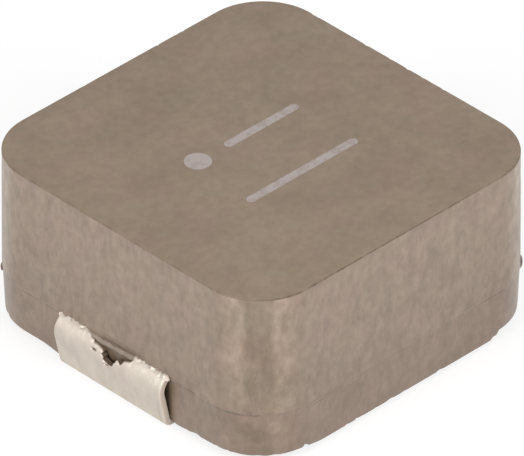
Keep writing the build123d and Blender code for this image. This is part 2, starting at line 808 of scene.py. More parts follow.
@dataclass(frozen=True)
class TinFinish:
    """Satin tin plating on the straps, dull in patches and gone where the roots are torn, with painted
    shade in the cuts and along a crease and painted light on the sheared edges.

    Attributes:
        name: Name of the material.
        colour: Colour of clean tin.
        dull: Colour of the duller patches.
        torn: Colour of the torn metal, darkened as painted shade in the cuts and pits.
        soil: Colour of the dirt along the roots.
        sheared: Colour of the sheared edges, made paler than the tin as painted light.
        metal: Share of clean metal in the plating.
        roughness: Roughness of the clean plating.
        relief: Height of the fine grain.
        bend_centre: Middle of the upper bend, out from the middle of the block and up, in millimetres.
        bend_radius: Outside of the upper bend, in millimetres.
        tear_half: Half the width of the torn opening, in millimetres.
        half_width: Half the width of the strip, in millimetres.
    """

    name: str
    colour: Colour
    dull: Colour
    torn: Colour
    soil: Colour
    sheared: Colour
    metal: float
    roughness: float
    relief: float
    bend_centre: tuple[float, float]
    bend_radius: float
    tear_half: float
    half_width: float

    def make(self) -> bpy.types.Material:
        """Builds the material.

        Returns:
            The new material.
        """
        board = NodeBoard(bpy.data.materials.new(self.name))
        patches = board.ranged(board.noise(1.3, 4.0, 0.6), 0.36, 0.62)
        stains_and_crease_shade = board.tone(board.noise(5.0, 3.0, 0.5, 0.5, (6.0, 2.0, 3.0)), 0.05)
        # painted shade along a crease of the leaning wall, on top of the stains
        stains_and_crease_shade = board.product(stains_and_crease_shade, board.darken(self._painted_crease_shade(board), 0.15))
        plated = board.scale(board.blend(patches, self.colour, self.dull), stains_and_crease_shade)
        plated = board.blend(self._soiled(board), plated, self.soil)
        aside = board.away(board.axes()[1])
        # painted light: the sheared side faces get a pale, dull colour so that they look brightly lit
        sheared = board.ranged(aside, self.half_width - 0.03, self.half_width - 0.008)
        plated = board.blend(sheared, plated, self.sheared)
        # torn metal, darkened as painted shade on the cut faces and in the pits
        torn = self._torn_and_shaded(board)
        bare = board.calculate("MAXIMUM", torn, sheared)
        fine = board.noise(14.0, 3.0, 0.6)
        board.set(
            Base_Color=board.blend(torn, plated, self.torn),
            Roughness=board.ranged(fine, 0.3, 0.7, self.roughness - 0.06, self.roughness + 0.06),
            Metallic=board.ranged(bare, 0.0, 1.0, self.metal, 0.0),
        )
        board.bump(fine, self.relief)
        return board.owner

    def _painted_crease_shade(self, board: NodeBoard) -> Socket:
        """Share of the painted shade of a crease that runs up the leaning wall, beside its front edge.

        Args:
            board: Nodes of the material.

        Returns:
            The share output.
        """
        _, y, z = board.axes()
        aside = board.away(y, 0.12 - self.half_width)
        return board.product(board.falling(aside, 0.015, 0.055), board.falling(z, 0.40, 0.66))

    def _soiled(self, board: NodeBoard) -> Socket:
        """Share of dirt: specks of it along the roots, close to the block.

        Args:
            board: Nodes of the material.

        Returns:
            The share output.
        """
        x, _, z = board.axes()
        specks = board.noise(9.0, 3.0, 0.6, shift=(3.0, 7.0, 5.0))
        return board.product(
            board.falling(board.away(x), 4.03, 4.12),
            board.ranged(z, 1.10, 1.20),
            board.ranged(specks, 0.47, 0.60, 0.0, 0.75),
        )

    def _torn_and_shaded(self, board: NodeBoard) -> Socket:
        """Share of torn metal and painted shade: what lies under the skin of the upper bend, in the
        opening, such as the cut faces and the insides of pits.

        Args:
            board: Nodes of the material.

        Returns:
            The share output.
        """
        x, y, z = board.axes()
        out = board.away(board.away(x), self.bend_centre[0])
        up = board.away(z, self.bend_centre[1])
        square = board.calculate("ADD", board.product(out, out), board.product(up, up))
        depth = board.calculate("SUBTRACT", self.bend_radius, board.calculate("SQRT", square))
        opening = board.falling(board.away(y), self.tear_half, self.tear_half + 0.05)
        return board.product(board.ranged(depth, 0.016, 0.040), opening)


@dataclass(frozen=True)
class CopperFinish:
    """Enamelled copper wire.

    Attributes:
        name: Name of the material.
        colour: Colour of the wire.
        dark: Colour where the enamel is thick.
    """

    name: str
    colour: Colour
    dark: Colour

    def make(self) -> bpy.types.Material:
        """Builds the material.

        Returns:
            The new material.
        """
        board = NodeBoard(bpy.data.materials.new(self.name))
        fine = board.noise(6.0, 3.0)
        colour = board.blend(board.ranged(fine, 0.35, 0.65), self.colour, self.dark)
        board.set(Base_Color=colour, Metallic=1.0, Roughness=0.32, Coat_Weight=0.6)
        board.bump(fine, THIN_RELIEF)
        return board.owner


@dataclass(frozen=True)
class InkFinish:
    """Pale marking ink, thin enough to let the composite show in places.

    Attributes:
        name: Name of the material.
        colour: Colour of the ink.
        thin: Colour where the ink is thin.
    """

    name: str
    colour: Colour
    thin: Colour

    def make(self) -> bpy.types.Material:
        """Builds the material.

        Returns:
            The new material.
        """
        board = NodeBoard(bpy.data.materials.new(self.name))
        cover = board.ranged(board.noise(7.0, 3.0), 0.3, 0.6)
        board.set(Base_Color=board.blend(cover, self.thin, self.colour), Roughness=0.6)
        board.bump(cover, THIN_RELIEF)
        return board.owner


@dataclass(frozen=True)
class FloorFinish:
    """Pale studio floor, white to the camera and in reflections, with the shadow kept.

    Attributes:
        name: Name of the material.
        colour: Colour that the floor throws back on the object.
        shadow_share: Part of the white that the light has to bring.
    """

    name: str
    colour: Colour
    shadow_share: float

    def make(self) -> bpy.types.Material:
        """Builds the material.

        Returns:
            The new material.
        """
        board = NodeBoard(bpy.data.materials.new(self.name))
        board.nodes.remove(board.shader)
        seen = board.add("BsdfDiffuse", {"Color": (self.shadow_share,) * 3})
        glow = board.add("Emission", {"Strength": 1.0 - self.shadow_share * 0.8})
        white = board.add("AddShader", {0: seen.outputs[0], 1: glow.outputs[0]})
        bounce = board.add("BsdfDiffuse", {"Color": self.colour})
        layers = {0: board.looked_at(), 1: bounce.outputs[0], 2: white.outputs[0]}
        floor = board.add("MixShader", layers)
        board.put(floor.outputs[0], board.nodes["Material Output"].inputs["Surface"])
        return board.owner


# Sub-assemblies


@dataclass(frozen=True)
class Ring:
    """One level of the block: its height and half its width along X and Y."""

    z: float
    half_x: float
    half_y: float


@dataclass(frozen=True)
class Marks:
    """Random marks along an edge of the block.

    Attributes:
        count: Their number.
        span: Stretch of the edge, in shares of the way round from +X.
        depths: Least and greatest depth, in millimetres.
        reaches: Least and greatest reach, in millimetres.
    """

    count: int
    span: tuple[float, float]
    depths: tuple[float, float]
    reaches: tuple[float, float]


@dataclass(frozen=True)
class WornEdge:
    """Edge of the block with its nicks or chips.

    Attributes:
        z: Height of the edge.
        half: Half the width of the block at the edge.
        rise: Upward part of a mark, in depths.
        seen: X, Y, depth and reach of the marks that stand out, in millimetres.
        others: The marks besides them.
    """

    z: float
    half: float
    rise: float
    seen: tuple[tuple[float, float, float, float], ...]
    others: tuple[Marks, ...]


@dataclass(frozen=True)
class Drop:
    """Drop of composite squeezed out of the die.

    Attributes:
        place: Its middle.
        half: Half its length along each axis.
        tilt: Its turn round X.
    """

    place: Triple
    half: Triple
    tilt: float = 0.0


@dataclass
class MouldedBody:
    """Pressed block with its parting line, worn edges, flash and pockets for the feet.

    Attributes:
        size: Width just under the top face.
        corner_radius: Radius of the upright corners.
        underside_z: Underside of the block.
        parting_z: Line where the halves of the die met.
        top_z: Top face.
        flare: Lean of the upper walls, top to parting line.
        step: Inset of the lower half.
        taper_x: Draft of the lower terminal faces.
        taper_y: Draft of the lower plain faces.
        rim: Worn edge round the top face.
        toe: Worn edge round the underside.
        belt_low: Finely cut belt, down from the parting line.
        belt_high: The same, up from the parting line.
        crown: Finely cut wall under the top face, in widths of the rim.
        corner_wear: Depth of the wear at the lower corners.
        wave: Waviness of the walls.
        wave_grain: Size of the waves.
        corner_steps: Facets to a corner.
        straight_cuts: Cuts along a straight wall.
        upper_cuts: Cuts up the upper walls.
        lower_cuts: Cuts up the lower walls.
        pocket_length: Pocket of a foot, in from the wall.
        pocket_width: The same along Y.
        pocket_depth: Height of its roof above the board.
        burr: Unevenness of the drops of composite.
        drop_skin: Grid of the skin that drops run together under.
        seed: Start of the random wear.
    """

    size: float = 8.0 * MM
    corner_radius: float = 1.32 * MM
    underside_z: float = 0.08 * MM
    parting_z: float = 1.20 * MM
    top_z: float = 3.947 * MM
    flare: float = 0.018 * MM
    step: float = 0.012 * MM
    taper_x: float = 0.048 * MM
    taper_y: float = 0.012 * MM
    rim: float = 0.022 * MM
    toe: float = 0.028 * MM
    belt_low: float = 0.06 * MM
    belt_high: float = 0.14 * MM
    crown: float = 6.0
    corner_wear: float = 0.16 * MM
    wave: float = 0.007 * MM
    wave_grain: float = 0.35 * MM
    corner_steps: int = 80
    straight_cuts: int = 205
    upper_cuts: int = 28
    lower_cuts: int = 14
    pocket_length: float = 1.95 * MM
    pocket_width: float = 3.06 * MM
    pocket_depth: float = 0.185 * MM
    burr: float = 0.002 * MM
    drop_skin: float = 0.015 * MM
    seed: int = 11
    piece: bpy.types.Object = field(init=False, default=None)
    drop_zones: dict[int, Zone] = field(init=False, default_factory=dict)

    @property
    def half(self) -> float:
        """Wall just under the top face, out from the middle."""
        return self.size / 2

    @property
    def wall(self) -> float:
        """Wall at the parting line, out from the middle."""
        return self.half + self.flare

    @property
    def arc_centre(self) -> float:
        """Middle of a corner's arc, out from the middle."""
        return self.half - self.corner_radius

    def rings(self) -> list[Ring]:
        """Levels of the block, from the middle of the underside to the middle of the top.

        Returns:
            The levels in order.
        """
        half, wall = self.half, self.wall
        low = wall - self.step
        under_x, under_y = low - self.taper_x, low - self.taper_y
        foot = [
            Ring(self.underside_z + lift * self.toe, under_x - inset * self.toe, under_y - inset * self.toe)
            for lift, inset in ((0.0, 1.0), (0.3, 0.3), (1.0, 0.0))
        ]
        belt = [
            Ring(self.parting_z + lift, wall - inset * self.step, wall - inset * self.step)
            for lift, inset in (
                (-self.belt_low, 1.0), (-0.040 * MM, 1.0), (-0.022 * MM, 0.8), (-0.004 * MM, 0.25),
                (0.008 * MM, 0.0), (0.025 * MM, 0.0), (0.050 * MM, 0.0), (0.090 * MM, 0.0),
                (self.belt_high, 0.0),
            )
        ]
        crown = [
            Ring(self.top_z - drop * self.rim, half - inset * self.rim, half - inset * self.rim)
            for drop, inset in (
                (self.crown, 0.0), (4.0, 0.0), (2.4, 0.0), (1.2, 0.0), (0.5, 0.2), (0.15, 0.5),
                (0.0, 1.0), (0.0, 2.2), (0.0, 6.0),
            )
        ]
        floor = [Ring(self.underside_z, half * share, half * share) for share in (0.35, 0.80, 0.93)]
        roof = [Ring(self.top_z, half * share, half * share) for share in (0.90, 0.75, 0.35)]
        return [*floor, *foot, *belt, *crown, *roof]

    def build(self) -> bpy.types.Object:
        """Models the block.

        Returns:
            The finished piece.
        """
        self._draw_outline()
        self._raise_walls()
        self._cut_pockets()
        self._round_lower_corners()
        self._wave_walls()
        self._wear_edges()
        self._leave_flash()
        make_active(self.piece)
        bpy.ops.object.shade_smooth_by_angle(angle=math.radians(40))
        return self.piece

    def dress(self, finishes: dict[Zone, bpy.types.Material]) -> None:
        """Gives each zone of the block its finish.

        Args:
            finishes: Material of each zone.
        """
        for zone in Zone:
            self.piece.data.materials.append(finishes[zone])
        for face in self.piece.data.polygons:
            face.material_index = self._zone_of(face).value

    def _zone_of(self, face: bpy.types.MeshPolygon) -> Zone:
        """Zone that a face lies in, by its number, height and normal.

        Args:
            face: Face of the block or of a drop on it.

        Returns:
            The zone.
        """
        starts = [start for start in self.drop_zones if start <= face.index]
        if starts:
            return self.drop_zones[starts[-1]]
        if face.center.z < self.parting_z - 0.008 * MM:
            return Zone.LOWER
        drop = (self.top_z - face.center.z) / self.rim
        if drop > 3.2 or (drop > 1.3 and face.normal.z < 0.5):
            return Zone.WALL
        return Zone.TOP if face.normal.z > 0.97 else Zone.RIM

    def _draw_outline(self) -> None:
        """Draws the rounded square that all levels are scaled from."""
        deselect_everything()
        bpy.ops.mesh.primitive_plane_add(size=self.size, location=(0, 0, 0))
        self.piece = bpy.context.active_object
        self.piece.name = self.piece.data.name = "pressed_block"
        with edit_mode(self.piece):
            pick_all()
            bpy.ops.mesh.bevel(offset=self.corner_radius, segments=self.corner_steps, affect="VERTICES")
            pick_all()
            bpy.ops.mesh.delete(type="ONLY_FACE")
            pick_edges(lambda edge: edge.calc_length() > self.corner_radius)
            bpy.ops.mesh.subdivide(number_cuts=self.straight_cuts)

    def _raise_walls(self) -> None:
        """Extrudes the outline through all levels, closes both ends and cuts the tall walls."""
        with edit_mode(self.piece):
            pick_all()
            level = Ring(0.0, self.half, self.half)
            for number, ring in enumerate(self.rings()):
                if number:
                    bpy.ops.mesh.extrude_region_move()
                ratio = (ring.half_x / level.half_x, ring.half_y / level.half_y, 1)
                bpy.ops.transform.resize(value=ratio, center_override=(0, 0, 0))
                bpy.ops.transform.translate(value=(0, 0, ring.z - level.z))
                level = ring
            bpy.ops.mesh.edge_face_add()
            pick_edges(lambda edge: edge.is_boundary)
            bpy.ops.mesh.edge_face_add()
            pick_all()
            bpy.ops.mesh.normals_make_consistent(inside=False)
            belt_start, belt_end = self.parting_z - self.belt_low, self.parting_z + self.belt_high
            self._cut_band(self.underside_z + self.toe, belt_start, self.lower_cuts)
            self._cut_band(belt_end, self.top_z - self.crown * self.rim, self.upper_cuts)

    def _cut_band(self, low: float, high: float, cuts: int) -> None:
        """Cuts the wall between two levels into rows.

        Args:
            low: Height of the lower level.
            high: Height of the upper level.
            cuts: Number of cuts.
        """
        slack = (high - low) * 0.01

        def crosses(edge: bmesh.types.BMEdge) -> bool:
            """Says whether an edge runs from the lower level to the upper one."""
            heights = sorted(point.co.z for point in edge.verts)
            return abs(heights[0] - low) < slack and abs(heights[1] - high) < slack

        pick_edges(crosses)
        bpy.ops.mesh.subdivide(number_cuts=cuts)

    def _cut_pockets(self) -> None:
        """Cuts the pockets that the feet of the straps lie in."""
        outer = self.size * 0.6
        inner = self.half - self.pocket_length
        for side in Side:
            deselect_everything()
            bpy.ops.mesh.primitive_cube_add(size=1.0)
            cutter = bpy.context.active_object
            with edit_mode(cutter):
                pick_all()
                bpy.ops.transform.resize(value=(outer - inner, self.pocket_width, self.pocket_depth * 2))
                bpy.ops.transform.translate(value=(side.value * (outer + inner) / 2, 0, 0))
            cut_away(self.piece, cutter)

    def _round_lower_corners(self) -> None:
        """Rubs the lower edge round at the corners, most of all at the front right one."""

        def worn(place: Vector) -> float:
            """Share of the wear, which reaches further along the terminal faces.

            Args:
                place: Place on the block.

            Returns:
                The share, from 0 to 1.
            """
            across, along = abs(place.x) - self.arc_centre, abs(place.y) - self.arc_centre
            past = min(across, along)
            inside = self.corner_radius - math.hypot(max(across, 0.0), max(along, 0.0))
            low = 1 - ramp_step(0.11 * MM, 0.42 * MM, place.z)
            edge = low * (1 - ramp_step(0.08 * MM, 0.27 * MM, inside))
            if place.y > 0:
                turned = 1 - ramp_step(0.0, 0.8 * MM, along - across)
                return 0.35 * edge * ramp_step(-1.1 * MM, -0.5 * MM, past) * turned
            terminal_face = across > along
            if place.x > 0:
                depth, start, full = 0.9, -1.3 if terminal_face else -0.14, 0.02
            else:
                depth, start, full = 0.52, -1.6 if terminal_face else -0.5, 0.25
            return depth * edge * ramp_step(start * MM, full * MM, past)

        apply_modifier(
            self.piece,
            "DISPLACE",
            direction="Z",
            vertex_group=weigh(self.piece, "lower_corners", worn),
            strength=self.corner_wear,
            mid_level=0.0,
        )

    def _wave_walls(self) -> None:
        """Waves the walls and the edges a little, as pressed powder does."""
        low, high = self.underside_z + self.toe, self.top_z - self.rim
        walls = weigh(self.piece, "walls", lambda place: 1.0 if low < place.z < high else 0.0)
        apply_modifier(
            self.piece,
            "DISPLACE",
            texture=cloud_texture("wall_wave", self.wave_grain),
            texture_coords="LOCAL",
            vertex_group=walls,
            strength=self.wave,
            mid_level=0.5,
        )

    def _around(self, share: float, half: float) -> Vector:
        """Point of the outline at a share of the way round.

        Args:
            share: From 0 to 1.
            half: Half the width of the outline.

        Returns:
            The point, at height 0.
        """
        turn = Vector((math.cos(share * math.tau), math.sin(share * math.tau), 0))
        place = turn * (half / max(abs(turn.x), abs(turn.y)))
        centre = half - self.corner_radius
        if min(abs(place.x), abs(place.y)) > centre:
            corner = Vector((math.copysign(centre, place.x), math.copysign(centre, place.y), 0))
            place = corner + (place - corner).normalized() * self.corner_radius
        return place

    def _outward(self, place: Vector) -> Vector:
        """Direction that the wall faces at a place.

        Args:
            place: Place on or near the wall.

        Returns:
            The level direction.
        """
        x = math.copysign(max(abs(place.x) - self.arc_centre, 0.0), place.x)
        y = math.copysign(max(abs(place.y) - self.arc_centre, 0.0), place.y)
        return Vector((x, y, 0)).normalized()

    def _wear_edges(self) -> None:
        """Nicks the rim, chips the lower edge and swells the block at the strap roots."""
        rim = WornEdge(
            z=self.top_z,
            half=self.half,
            rise=-0.7,
            seen=(
                (3.957, -0.764, 0.014, 0.06),
                (2.873, -3.99, 0.014, 0.06),
                (1.799, -3.99, 0.014, 0.06),
                (-3.99, -2.796, 0.014, 0.06),
            ),
            others=(
                Marks(22, (0.0, 1.0), (0.004, 0.012), (0.03, 0.08)),
                Marks(16, (0.62, 0.72), (0.003, 0.009), (0.03, 0.07)),
            ),
        )
        underside = WornEdge(
            z=self.underside_z,
            half=self.wall - self.step - self.taper_y,
            rise=0.8,
            seen=((-2.70, -3.97, 0.045, 0.10), (2.56, -3.97, 0.03, 0.10), (-3.95, -2.2, 0.02, 0.2)),
            others=(Marks(30, (0.0, 1.0), (0.004, 0.014), (0.05, 0.16)),),
        )
        sculptor = Sculptor(self.piece)
        chance = random.Random(self.seed)
        with edit_mode(self.piece):
            bpy.ops.mesh.select_mode(type="VERT")
            self._wear_edge(rim, sculptor, chance)
            self._wear_edge(underside, sculptor, chance)
            self._swell_roots(sculptor, chance)

    def _wear_edge(self, edge: WornEdge, sculptor: Sculptor, chance: random.Random) -> None:
        """Presses the marks into one edge.

        Args:
            edge: The edge and its marks.
            sculptor: Sculptor of the block.
            chance: Source of the random wear.
        """
        places = [(Vector((*mm(x, y), edge.z)), *mm(depth, reach)) for x, y, depth, reach in edge.seen]
        for marks in edge.others:
            for _ in range(marks.count):
                place = self._around(chance.uniform(*marks.span), edge.half)
                place.z = edge.z
                places.append((place, *mm(chance.uniform(*marks.depths), chance.uniform(*marks.reaches))))
        for place, depth, reach in places:
            sculptor.push(place, self._outward(place) * -depth + Vector((0, 0, edge.rise * depth)), reach)

    def _swell_roots(self, sculptor: Sculptor, chance: random.Random) -> None:
        """Squeezes a ragged lip out over the roots of each strap.

        Args:
            sculptor: Sculptor of the block.
            chance: Source of the random wear.
        """
        for side in Side:
            y = -1.5
            while y < 1.5:
                if not -0.7 < y < 0.6:
                    place = Vector((side.value * self.wall, *mm(y, chance.uniform(1.235, 1.27))))
                    swell = Vector((side.value, 0, 0)) * chance.uniform(0.0, 0.045) * MM
                    sculptor.push(place, swell, chance.uniform(0.04, 0.06) * MM)
                y += chance.uniform(0.05, 0.10)

    def _leave_flash(self) -> None:
        """Leaves composite along the parting line: slivers, burrs, and a lip and a plug at each strap."""
        wall = self.wall
        arm = self.arc_centre + (self.corner_radius + self.flare) * math.sqrt(0.5)
        thin = 0.015 * MM
        slivers = [
            Drop((-wall, *mm(-1.66, 1.190)), (thin, 0.18 * MM, thin), -0.02),
            Drop((-wall, *mm(-2.02, 1.188)), (thin, 0.20 * MM, thin), 0.05),
            Drop((-wall, *mm(-2.08, 1.225)), (thin * 0.6, 0.16 * MM, thin), 0.06),
            Drop((-2.25 * MM, -wall + thin, 1.06 * MM), (0.36 * MM, thin, thin)),
            Drop((1.75 * MM, -wall + thin, 1.195 * MM), (0.50 * MM, thin, thin)),
            Drop((2.5 * MM, -wall + thin, 1.20 * MM), (0.34 * MM, thin, thin)),
        ]
        burrs = [
            Drop((-arm, arm, 1.05 * MM), mm(0.035, 0.035, 0.10)),
            Drop((arm, -arm, 1.24 * MM), mm(0.045, 0.045, 0.16)),
        ]
        lips, plugs = [], []
        for side in Side:
            face = side.value * wall
            for place in ((0.60, 1.135), (0.36, 1.125), (0.10, 1.150), (-0.18, 1.158), (-0.46, 1.165)):
                lips.append(Drop((face, *mm(*place)), mm(0.082, 0.27, 0.070)))
            # the plug is dressed as the lower wall, where it takes the painted shade behind the strap
            plugs.append(Drop((face, *mm(-0.03, 1.02)), mm(0.065, 0.66, 0.24)))
        self._squeeze_out(Zone.FLASH, slivers)
        self._squeeze_out(Zone.BURR, burrs)
        self._squeeze_out(Zone.FLASH, lips, merged=True)
        self._squeeze_out(Zone.LOWER, plugs, merged=True)

    def _squeeze_out(self, zone: Zone, drops: list[Drop], merged: bool = False) -> None:
        """Adds drops of composite to the block.

        Args:
            zone: Zone that they are dressed as.
            drops: The drops.
            merged: Whether they run together under one skin.
        """
        deselect_everything()
        self._add_drop(drops[0])
        lump = bpy.context.active_object
        bpy.ops.object.transform_apply()
        with edit_mode(lump):
            for drop in drops[1:]:
                self._add_drop(drop)
            pick_all()
            bpy.ops.transform.vertex_random(offset=self.burr, seed=self.seed)
        if merged:
            apply_modifier(lump, "REMESH", mode="VOXEL", voxel_size=self.drop_skin)
            apply_modifier(lump, "SMOOTH", factor=0.5, iterations=6)
        self.drop_zones[len(self.piece.data.polygons)] = zone
        make_active(self.piece)
        lump.select_set(True)
        bpy.ops.object.join()

    def _add_drop(self, drop: Drop) -> None:
        """Adds one drop to the mesh in hand or as a new object."""
        bpy.ops.mesh.primitive_ico_sphere_add(
            subdivisions=3, radius=1.0, location=drop.place, scale=drop.half, rotation=(drop.tilt, 0, 0)
        )


@dataclass(frozen=True)
class Grain:
    """Crumb or pit on the upper bend of a strap.

    Attributes:
        y: Place across the strap.
        turn: Place round the bend in degrees, from the top.
        radius: Its radius.
        stretch: Its length along Y, in diameters.
        depth: Its length into the strip, in diameters.
    """

    y: float
    turn: float
    radius: float
    stretch: float = 1.0
    depth: float = 1.0


@dataclass
class TerminalStrap:
    """Folded strap: tab in the block, bend, leaning wall, bend and foot, with a torn fork at its root.

    Attributes:
        side: Terminal face of the block that it stands at.
        wall_x: Face of the block at the parting line.
        reach: Widest point of the upper bend, out from that face.
        lean: Lean of the wall, inwards on the way down.
        thickness: Thickness of the strip.
        width: Width of the strip.
        top_z: Upper side of the tab.
        upper_radius: Outside of the bend at the block.
        lower_radius: Outside of the bend at the board.
        clearance: Foot above the board plane, so that the skin stays above it.
        tab_end_x: Inner end of the tab.
        foot_end_x: Inner end of the foot.
        fork_start: Opening of the fork, in from the face of the block.
        fork_length: Its length along X.
        rows: Points across the width.
        roll: Rounding of the sheared edges.
        skin: Grid of the final skin.
        crinkle: Unevenness of the skin near the roots.
        crinkle_grain: Size of its lumps.
        kept: Share of the faces of the skin that are kept.
        seed: Start of the random crumbs.
    """

    side: Side
    wall_x: float = 4.025 * MM
    reach: float = 0.234 * MM
    lean: float = math.radians(12.5)
    thickness: float = 0.15 * MM
    width: float = 3.0 * MM
    top_z: float = 1.275 * MM
    upper_radius: float = 0.40 * MM
    lower_radius: float = 0.20 * MM
    clearance: float = 0.002 * MM
    tab_end_x: float = 3.30 * MM
    foot_end_x: float = 1.98 * MM
    fork_start: float = 0.35 * MM
    fork_length: float = 0.9 * MM
    rows: int = 120
    roll: float = 0.05 * MM
    skin: float = 0.015 * MM
    crinkle: float = 0.012 * MM
    crinkle_grain: float = 0.13 * MM
    kept: float = 0.45
    seed: int = 5
    piece: bpy.types.Object = field(init=False, default=None)

    @property
    def bend_x(self) -> float:
        """Middle of the upper bend, out from the middle of the block."""
        return self.wall_x + self.reach - self.upper_radius

    @property
    def bend_z(self) -> float:
        """Middle of the upper bend, up from the board."""
        return self.top_z - self.upper_radius

    def build(self) -> bpy.types.Object:
        """Models the strap.

        Returns:
            The finished piece.
        """
        self._fold_strip()
        self._tear_fork()
        self._pit_bend()
        self._crumble_roots()
        self._skin_over()
        return self.piece

    def dress(self, tin: bpy.types.Material) -> None:
        """Plates the strap."""
        self.piece.data.materials.clear()
        self.piece.data.materials.append(tin)

    def _fold_strip(self) -> None:
        """Lays the tab, spins the bends, draws out the wall and the foot, and thickens the strip."""
        sign = self.side.value
        turn = math.pi / 2 + self.lean
        out = Vector((math.cos(self.lean), 0, -math.sin(self.lean)))
        panel_start = Vector((self.bend_x, 0, self.bend_z)) + out * self.upper_radius
        heel_z = self.clearance + self.lower_radius
        panel_end_z = heel_z - self.lower_radius * math.sin(self.lean)
        panel_end_x = panel_start.x - (panel_start.z - panel_end_z) * math.tan(self.lean)
        heel_x = panel_end_x - self.lower_radius * math.cos(self.lean)
        panel = Vector((sign * (panel_end_x - panel_start.x), 0, panel_end_z - panel_start.z))
        tab_edge = self.bend_x - self.skin
        deselect_everything()
        bpy.ops.mesh.primitive_grid_add(x_subdivisions=4, y_subdivisions=self.rows, size=1.0)
        self.piece = bpy.context.active_object
        self.piece.name = self.piece.data.name = f"strap_{self.side.name.lower()}"
        with edit_mode(self.piece):
            pick_all()
            bpy.ops.transform.resize(value=(self.bend_x - self.tab_end_x, self.width, 1))
            bpy.ops.transform.translate(value=(sign * (self.bend_x + self.tab_end_x) / 2, 0, self.top_z))
            pick_edges(lambda edge: all(point.co.x * sign > tab_edge for point in edge.verts))
            self._spin(self.bend_x, self.bend_z, turn, 30)
            self._draw_out(panel, 20)
            self._spin(heel_x, heel_z, math.pi - turn, 16)
            self._draw_out(Vector((sign * (self.foot_end_x - heel_x), 0, 0)), 24)
            pick_all()
            bpy.ops.mesh.remove_doubles(threshold=self.skin * 0.1)
            bpy.ops.mesh.normals_make_consistent(inside=False)
        self._face_outwards()
        apply_modifier(self.piece, "SOLIDIFY", thickness=self.thickness, offset=-1.0, use_even_offset=True)
        sharp = {"limit_method": "ANGLE", "angle_limit": math.radians(60)}
        apply_modifier(self.piece, "BEVEL", width=self.roll, segments=3, **sharp)

    def _spin(self, x: float, z: float, turn: float, steps: int) -> None:
        """Spins the picked edge of the strip outwards and down round an axis along Y.

        Args:
            x: Axis, out from the middle of the block.
            z: Axis, up from the board.
            turn: Angle of the bend.
            steps: Number of steps.
        """
        sign = self.side.value
        bpy.ops.mesh.spin(steps=steps, angle=-sign * turn, center=(sign * x, 0, z), axis=(0, 1, 0))

    def _draw_out(self, move: Vector, steps: int) -> None:
        """Extrudes the picked edge of the strip in equal steps.

        Args:
            move: The whole way.
            steps: Number of steps.
        """
        for _ in range(steps):
            bpy.ops.mesh.extrude_region_move(TRANSFORM_OT_translate={"value": move / steps})

    def _face_outwards(self) -> None:
        """Turns the open strip so that its upper side looks up."""
        highest = max(self.piece.data.polygons, key=lambda face: face.center.z)
        if highest.normal.z < 0:
            with edit_mode(self.piece):
                pick_all()
                bpy.ops.mesh.flip_normals()

    def _tear_fork(self) -> None:
        """Tears the opening between the two roots out of the strip."""
        outline = [
            (0.82, 1.50), (0.79, 1.235), (0.68, 1.205), (0.61, 1.195), (0.55, 1.16), (0.45, 1.15),
            (0.48, 1.11), (0.375, 1.12), (0.21, 1.09), (0.145, 1.05), (0.185, 1.005), (0.11, 0.955),
            (0.12, 0.905), (-0.02, 0.855), (-0.135, 0.865), (-0.18, 0.96), (-0.26, 1.06), (-0.30, 1.01),
            (-0.365, 1.0), (-0.415, 1.10), (-0.55, 1.135), (-0.61, 1.20), (-0.63, 1.50),
        ]
        sign = self.side.value
        deselect_everything()
        bpy.ops.mesh.primitive_circle_add(vertices=len(outline), fill_type="NGON")
        cutter = bpy.context.active_object
        for corner, (y, z) in zip(cutter.data.vertices, outline):
            corner.co = (sign * (self.wall_x - self.fork_start), *mm(y, z))
        with edit_mode(cutter):
            pick_all()
            depth = (sign * self.fork_length, 0, 0)
            bpy.ops.mesh.extrude_region_move(TRANSFORM_OT_translate={"value": depth})
            pick_all()
            bpy.ops.mesh.normals_make_consistent(inside=False)
        cut_away(self.piece, cutter)

    def _on_bend(self, grain: Grain, lift: float) -> Vector:
        """Place of a grain's middle.

        Args:
            grain: The crumb or pit.
            lift: Its middle above the skin of the bend.

        Returns:
            The place.
        """
        turn = math.radians(grain.turn)
        radius = self.upper_radius + lift
        x = self.bend_x + radius * math.sin(turn)
        return Vector((self.side.value * x, grain.y, self.bend_z + radius * math.cos(turn)))

    def _add_grain(self, grain: Grain, lift: float) -> None:
        """Adds a small ball, or a long one, to the mesh in hand or as a new object.

        Args:
            grain: The crumb or pit.
            lift: Its middle above the skin of the bend.
        """
        bpy.ops.mesh.primitive_ico_sphere_add(
            subdivisions=2,
            radius=grain.radius,
            location=self._on_bend(grain, lift),
            rotation=(0, self.side.value * math.radians(grain.turn), 0),
            scale=(1, grain.stretch, grain.depth),
        )

    def _pit_bend(self) -> None:
        """Cuts the slits and pits of the upper bend."""
        pits = [
            Grain(0.86 * MM, 32.6, 0.024 * MM, 2.4, 2.0),
            Grain(0.39 * MM, 70.2, 0.026 * MM, 3.4, 2.4),
            Grain(0.02 * MM, 97.0, 0.026 * MM, 3.6, 2.6),
            Grain(1.34 * MM, 34.3, 0.026 * MM, 1.7, 1.8),
        ]
        deselect_everything()
        self._add_grain(pits[0], 0.0)
        cutter = bpy.context.active_object
        with edit_mode(cutter):
            for pit in pits[1:]:
                self._add_grain(pit, 0.0)
        cut_away(self.piece, cutter, torn=True)

